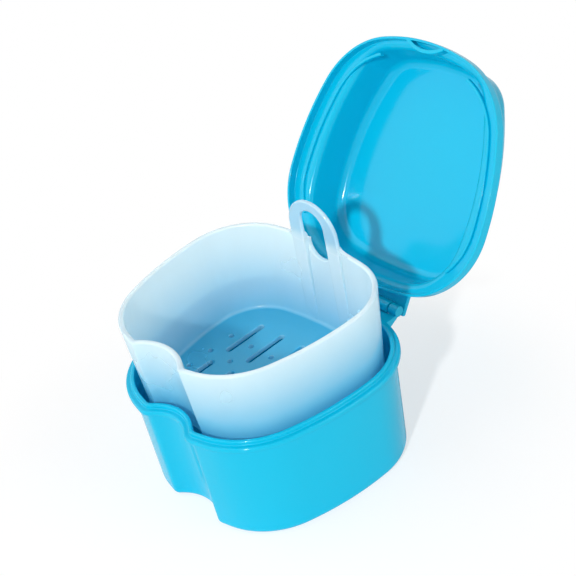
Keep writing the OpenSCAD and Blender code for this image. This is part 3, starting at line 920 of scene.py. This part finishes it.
def root_fillet(s, hand):
    """Fillet on the rim beside a leg: a corner less a quarter circle, leaning forward to the loop as it rises."""
    basket = s.basket
    outside, inside, low, top = basket_wall(s)
    half, r = basket.handle_w / 2, basket.root_r
    t = np.linspace(math.pi, math.pi * 1.5, 14)
    curve = np.stack([half + r + r * np.cos(t), top + r + r * np.sin(t)], 1)
    corner = np.array([[half + r, top - BITE], [half - BITE, top - BITE], [half - BITE, top + r]])
    flat = np.concatenate([curve, corner]) * np.array([hand, 1])
    at_wall = rim_outline(s).back_edge(half + r)
    front_inset, back_inset = 0.1 * MM, 0.35 * MM
    front, back = at_wall + inside(top) + front_inset, at_wall + outside(top) - back_inset
    lean = (handle_places(s)[0] - front) * np.clip((flat[:, 1] - top) / r, 0, 1)
    rings = [np.stack([flat[:, 0], y + lean, flat[:, 1]], 1) for y in (front, back)]
    return face_out(skin("root", np.array(rings)))


def wall_hole(s):
    """Cutter that carries the finger hole through the sloping rear wall and rounds its mouths."""
    basket, inside = s.basket, basket_wall(s)[1]
    hole = handle_places(s)[3]
    normals = outward(hole)
    rings = []
    for depth, u in flared_levels(0, basket.wall, SOFT_EDGE):
        x, z = (hole + u * normals).T
        rings.append(facing_back(x, z, s.outline.case_d / 2 + inside(z) + depth))
    return face_out(skin("wall_hole", np.array(rings)))


def make_basket(s):
    """The basket: shell, strainer floor, feet and handle, lifted to the pose of the frame."""
    basket, low = s.basket, basket_wall(s)[2]
    piece = shell("basket_shell", rim_outline(s), basket_section(s))
    combine(piece, [wall_hole(s)], "DIFFERENCE")
    feet = [plate("foot", circle(x * basket.foot_x / 2, y * basket.foot_y / 2, basket.foot_d / 2),
                  rounded_levels(low - basket.foot_h, low + BITE, SMALL_EDGE, 3), upright)
            for x in (-1, 1) for y in (-1, 1)]
    handle = [loop(s)] + [form(s, hand) for form in (leg, root_fillet) for hand in (-1, 1)]
    combine(piece, handle + feet, "UNION")
    combine(piece, [face_out(strainer_cutters(s))], "DIFFERENCE")
    # Writes the shares that steer the painted highlight and the painted blue tint
    mark_painted_light(piece, basket_wall(s)[3])
    piece.data.transform(Matrix.Translation((0, 0, BASKET_LIFT)))
    return polish(piece)


def mark_painted_light(piece, top):
    """Writes the attributes edge and inner, which steer the light painted into the milky plastic's colour.

    edge is the share of painted highlight: 1 on the lip and on the rounded rims of the handle, where light
    gathers. It rises over the last lip_rise below the top, and above the top it rises as |normal y| falls from
    flat by a further turn. inner is the share of the normal that points to the middle of the basket, times gain;
    it makes the painted blue tint fade sooner on faces that look inward.
    inner is the share of the normal that points to the middle of the basket, times gain.
    """
    lip_rise, above, flat, turn, gain = 0.7 * MM, 0.2 * MM, 0.9, 0.4, 1.5
    mesh = piece.data
    where, normals = np.empty(len(mesh.vertices) * 3), np.empty(len(mesh.vertices) * 3)
    mesh.vertices.foreach_get("co", where)
    mesh.vertices.foreach_get("normal", normals)
    where, normals = where.reshape(-1, 3), normals.reshape(-1, 3)
    z, across = where[:, 2], np.abs(normals[:, 1])
    lip = np.clip((z - top) / lip_rise + 1, 0, 1)
    rims = np.clip((flat - across) / turn, 0, 1)
    away = np.maximum(np.linalg.norm(where[:, :2], axis=1), MM)
    inward = -(where[:, :2] * normals[:, :2]).sum(1) / away
    shares = {"edge": np.where(z > top + above, rims, lip), "inner": np.clip(gain * inward, 0, 1)}
    for name, share in shares.items():
        mesh.attributes.new(name, "FLOAT", "POINT").data.foreach_set("value", share.astype(np.float32))


def flange_section(s):
    """Flange of the lid, drawn shut: the floor of its groove, the skirt and the rounded outer edge."""
    lid, r = s.lid, FINE_EDGE
    groove, skirt = s.cup.height + lid.gap, s.cup.height - lid.skirt_h
    flange = groove + lid.flange_t
    return (edge(lid.gap - r, groove - r, r, 90, 0, 3)
            + edge(lid.gap + r, skirt + r, r, 180, 270, 3)
            + edge(lid.overhang - r, skirt + r, r, 270, 360, 4)
            + edge(lid.overhang - lid.flange_t, flange - lid.flange_t, lid.flange_t, 0, 90, 10))


def dome_sections(s):
    """Outside of the dome, up from inside the flange, and the hollow under it, up from below the groove."""
    dome = s.dome
    groove, ceiling = s.cup.height + s.lid.gap, s.cup.height + dome.depth
    flange = groove + s.lid.flange_t
    draft = math.degrees(dome.draft)

    def inside(z):
        return -(z - groove) * math.tan(dome.draft)

    fillet_z = ceiling - dome.fillet_r
    fillet_u = inside(fillet_z) - dome.fillet_r / math.cos(dome.draft)
    foot_u = inside(flange + dome.foot_r) + dome.wall / math.cos(dome.draft) + dome.foot_r
    block = ([(foot_u, flange - BITE)] + edge(foot_u, flange + dome.foot_r, dome.foot_r, 270, 180 + draft, 6)
             + edge(fillet_u, fillet_z, dome.fillet_r + dome.wall, draft, 90, 14))
    hollow = ([(dome.mouth_r, groove - BITE)]
              + edge(dome.mouth_r, groove + dome.mouth_r, dome.mouth_r, 270, 180, 5)
              + edge(fillet_u, fillet_z, dome.fillet_r, draft, 90, 12))
    return block, hollow


def rib_section(near, far, tip, root):
    """Section of a rib of the lid: rounded at its tip and square at its root."""
    step = 0.12 * MM
    return round_corners([(near, tip, RIB_EDGE), (far, tip, RIB_EDGE), (far, root, 0), (near, root, 0)], step)


def plug_rib(s, hand):
    """Rib that enters the cup's mouth along one side: a round-edged section carried along the outline."""
    lid, groove = s.lid, s.cup.height + s.lid.gap
    (front_c, front_r, front_end, side_start), side, back_corner = rim_outline(s).flank
    back_c, back_r, side_end, back_start = back_corner
    arcs = [(front_c, front_r, front_end + (side_start - front_end) * lid.plug_front, side_start), side,
            (back_c, back_r, side_end, side_end + (back_start - side_end) * lid.plug_rear)]
    counts = chord_counts(arcs, s.outline.step)
    u_out = cup_wall(s)[1](s.cup.height) - s.basket.gap
    section = rib_section(u_out - lid.plug_t, u_out, groove - lid.plug_h, groove + BITE)
    lines = np.array([chain(arcs, counts, u, closed=False) for u, z in section])
    rings = np.concatenate([lines, np.broadcast_to(section[:, 1][:, None, None], (*lines.shape[:2], 1))], 2)
    rings = rings.transpose(1, 0, 2) * np.array([hand, 1, 1])
    return face_out(skin("plug_rib", rings))


def thumb_rib(s):
    """Curved rib that spans the thumb notch: a sector of a ring, from the skirt to the dome's mouth and back."""
    lid, top = s.lid, s.cup.height
    r_out = lid.thumb_rib_r
    r_in = r_out - lid.thumb_rib_t
    centre_y = lid.thumb_rib_overlap - s.dome.front - r_out
    half = math.acos((-s.outline.case_d / 2 - (lid.gap + lid.overhang) / 2 - centre_y) / r_in)
    t = math.pi / 2 + np.linspace(-half, half, 40)
    section = rib_section(r_in, r_out, top - lid.skirt_h, top + lid.gap + BITE)
    r, z = section[None, :, 0], np.broadcast_to(section[None, :, 1], (len(t), len(section)))
    rings = np.stack([r * np.cos(t)[:, None], centre_y + r * np.sin(t)[:, None], z], -1)
    return face_out(skin("thumb_rib", rings))


def hinge_leaf(s):
    """Tab from the flange to the knuckle, and the knuckle with its bore round the pin."""
    hinge, r = s.hinge, s.hinge.knuckle_r
    under_r, crest_r, nose_r, root_r, sunk = 0.4 * MM, 0.7 * MM, 0.8 * MM, 0.1 * MM, 0.2 * MM
    half = hinge.knuckle_len / 2
    reach = half + hinge.ear_gap + hinge.ear_w
    tab_low = HINGE_Z + hinge.ear_r + hinge.tab_gap
    tab_high = tab_low + hinge.tab_t
    tab_front = rim_outline(s).back_edge(reach) + s.lid.gap
    tab_back = HINGE_Y + r * 0.75
    tab = plate("tab", round_corners([(tab_front, tab_low, 0), (tab_back, tab_low, under_r),
                                      (tab_back, tab_high, crest_r), (tab_front, tab_high, 0)]),
                rounded_levels(-reach, reach, RIB_EDGE, 4), facing_side)
    # Round below the axis, with its two lower corners short of each other by a hair, and a block up to the tab
    side = round_corners([(HINGE_Y - r, HINGE_Z - r, r * 0.99), (HINGE_Y + r, HINGE_Z - r, r * 0.99),
                          (HINGE_Y + r, tab_high - sunk, nose_r), (HINGE_Y - r, tab_high - sunk, root_r)])
    knuckle = plate("knuckle", side, rounded_levels(-half, half, SMALL_EDGE, 3), facing_side)
    bore = plate("bore", circle(HINGE_Y, HINGE_Z, PIN_R + hinge.pin_play, 40),
                 [(-half - BEYOND, 0), (half + BEYOND, 0)], facing_side)
    return [tab, knuckle], bore


def make_lid(s):
    """The lid: flange, dome, ribs and hinge leaf, turned open about the hinge."""
    block, hollow = dome_sections(s)
    mouth = dome_outline(s)
    piece = shell("lid_shell", rim_outline(s, notched=False), flange_section(s))
    combine(piece, [shell("dome", mouth, block)], "UNION")
    combine(piece, [shell("hollow", mouth, hollow)], "DIFFERENCE")
    leaf, bore = hinge_leaf(s)
    combine(piece, [plug_rib(s, 1), plug_rib(s, -1), thumb_rib(s)] + leaf, "UNION")
    combine(piece, [bore], "DIFFERENCE")
    return polish(turned(piece, -LID_OPEN))


def make_pin(s):
    """The hinge pin: a rod as thick as the frame's, with rounded ends that stay just inside the ears."""
    inset = 0.3 * MM
    end = PIN_HIGH.x - inset
    return polish(plate("hinge_rod", circle(HINGE_Y, HINGE_Z, PIN_R, 40),
                        rounded_levels(-end, end, FINE_EDGE, 3), facing_side))


def studio(fill):
    """World of even light, plain white to the camera, to reflections and through clear pieces."""
    world = bpy.data.worlds.new("studio")
    world.use_nodes = True
    tree = world.node_tree
    paths = tree.nodes.new("ShaderNodeLightPath")
    seen = sum((Wire(tree, paths.outputs[name]) for name in ("Is Glossy Ray", "Is Transmission Ray")),
               Wire(tree, paths.outputs["Is Camera Ray"]))
    strength = fill + (1 - fill) * seen
    background = tree.nodes["Background"]
    background.inputs["Color"].default_value = (1, 1, 1, 1)
    tree.links.new(strength.socket, background.inputs["Strength"])
    return world


def lamp(name, strength, turn, rise, spread):
    """Distant lamp, placed by its direction round the case and its height above the horizon."""
    light = bpy.data.lights.new(name, "SUN")
    light.energy, light.angle = strength, spread
    piece = bpy.data.objects.new(name, light)
    piece.rotation_mode = "QUATERNION"
    piece.rotation_quaternion = toward(turn, rise).to_track_quat("Z", "Y")
    bpy.context.scene.collection.objects.link(piece)


def toward(turn, rise):
    """Unit vector from the case, turned from the front to the right and raised above the horizon."""
    return Vector((math.sin(turn) * math.cos(rise), -math.cos(turn) * math.cos(rise), math.sin(rise)))


# Operators

class DENTURE_OT_cup(bpy.types.Operator):
    """Makes the cup"""
    bl_idname = "denture_case.cup"
    bl_label = "Cup"

    def execute(self, context):
        s = settings()
        settle(make_cup(s), "cup", "base_cup",
               case_plastic(s.finishes.case_colour, s.finishes.gloss, "cup_plastic"))
        return {"FINISHED"}


class DENTURE_OT_basket(bpy.types.Operator):
    """Makes the strainer basket with its handle"""
    bl_idname = "denture_case.basket"
    bl_label = "Basket"

    def execute(self, context):
        s = settings()
        # The basket's second colour is a painted tint: the blue of the cup seen through the plastic
        settle(make_basket(s), "basket", "strainer_basket",
               milky_plastic(s.finishes.basket_colour, s.finishes.basket_painted_tint,
                             BASKET_LOW.z, BASKET_LOW.z + s.basket.height, s.finishes.milk, s.finishes.glow))
        return {"FINISHED"}


class DENTURE_OT_lid(bpy.types.Operator):
    """Makes the lid with its ribs and hinge leaf"""
    bl_idname = "denture_case.lid"
    bl_label = "Lid"

    def execute(self, context):
        s = settings()
        settle(make_lid(s), "lid", "lid",
               case_plastic(s.finishes.case_colour, s.finishes.gloss, "lid_plastic"))
        return {"FINISHED"}


class DENTURE_OT_pin(bpy.types.Operator):
    """Makes the hinge pin"""
    bl_idname = "denture_case.pin"
    bl_label = "Hinge pin"

    def execute(self, context):
        s = settings()
        settle(make_pin(s), "cup", "hinge_pin",
               case_plastic(s.finishes.pin_colour, s.finishes.gloss, "pin_plastic"))
        return {"FINISHED"}


class DENTURE_OT_stage(bpy.types.Operator):
    """Makes the floor, the light and the camera"""
    bl_idname = "denture_case.stage"
    bl_label = "Stage"

    def execute(self, context):
        s = settings().stage
        half = s.floor_size / 2
        corners = np.array([[-half, -half, 0], [half, -half, 0], [half, half, 0], [-half, half, 0]])
        floor = new_piece("floor", corners, [[0, 1, 2, 3]])
        paint = floor_paint(s.floor_colour, s.floor_lift, s.floor_white, s.shadow_reach, s.shadow_end)
        floor.data.materials.append(paint)
        context.scene.world = studio(s.fill)
        lamp("key", s.key, s.key_turn, s.key_rise, s.key_spread)
        lamp("rim", s.rim, s.rim_turn, s.rim_rise, s.rim_spread)
        lamp("soft", s.soft, s.soft_turn, s.soft_rise, s.soft_spread)

        camera = bpy.data.cameras.new("camera")
        camera.lens, camera.sensor_width, camera.clip_start = s.lens, s.sensor, 10 * MM
        eye = bpy.data.objects.new("camera", camera)
        back = toward(s.azimuth, s.elevation)
        right = Vector((math.cos(s.azimuth), math.sin(s.azimuth), 0))
        up = back.cross(right)
        turn = Matrix.Rotation(s.roll, 3, back)
        axes = Matrix((turn @ right, turn @ up, back)).transposed()
        eye.matrix_world = Matrix.Translation(Vector(s.eye)) @ axes.to_4x4()
        context.scene.collection.objects.link(eye)
        context.scene.camera = eye
        context.scene.view_settings.view_transform = "Standard"
        return {"FINISHED"}


class DENTURE_PT_panel(bpy.types.Panel):
    """Lists the case's pieces and settings"""
    bl_idname = "DENTURE_PT_panel"
    bl_label = "Denture Case"
    bl_space_type = "VIEW_3D"
    bl_region_type = "UI"
    bl_category = "Denture Case"

    def draw(self, context):
        for operator in OPERATORS:
            self.layout.operator(operator.bl_idname)
        for name, group in GROUPS.items():
            box = self.layout.box()
            box.label(text=group.__doc__.rstrip("."))
            for key in group.__annotations__:
                box.prop(getattr(settings(), name), key)


OPERATORS = [DENTURE_OT_cup, DENTURE_OT_basket, DENTURE_OT_lid, DENTURE_OT_pin, DENTURE_OT_stage]
CLASSES = [*GROUPS.values(), CaseSettings, *OPERATORS, DENTURE_PT_panel]


def register():
    for one in CLASSES:
        bpy.utils.register_class(one)
    bpy.types.Scene.denture_case = bpy.props.PointerProperty(type=CaseSettings)


def unregister():
    del bpy.types.Scene.denture_case
    for one in reversed(CLASSES):
        bpy.utils.unregister_class(one)


def main():
    register()
    for operator in OPERATORS:
        name = operator.bl_idname.split(".")[1]
        getattr(bpy.ops.denture_case, name)()


if __name__ == "__main__":
    main()
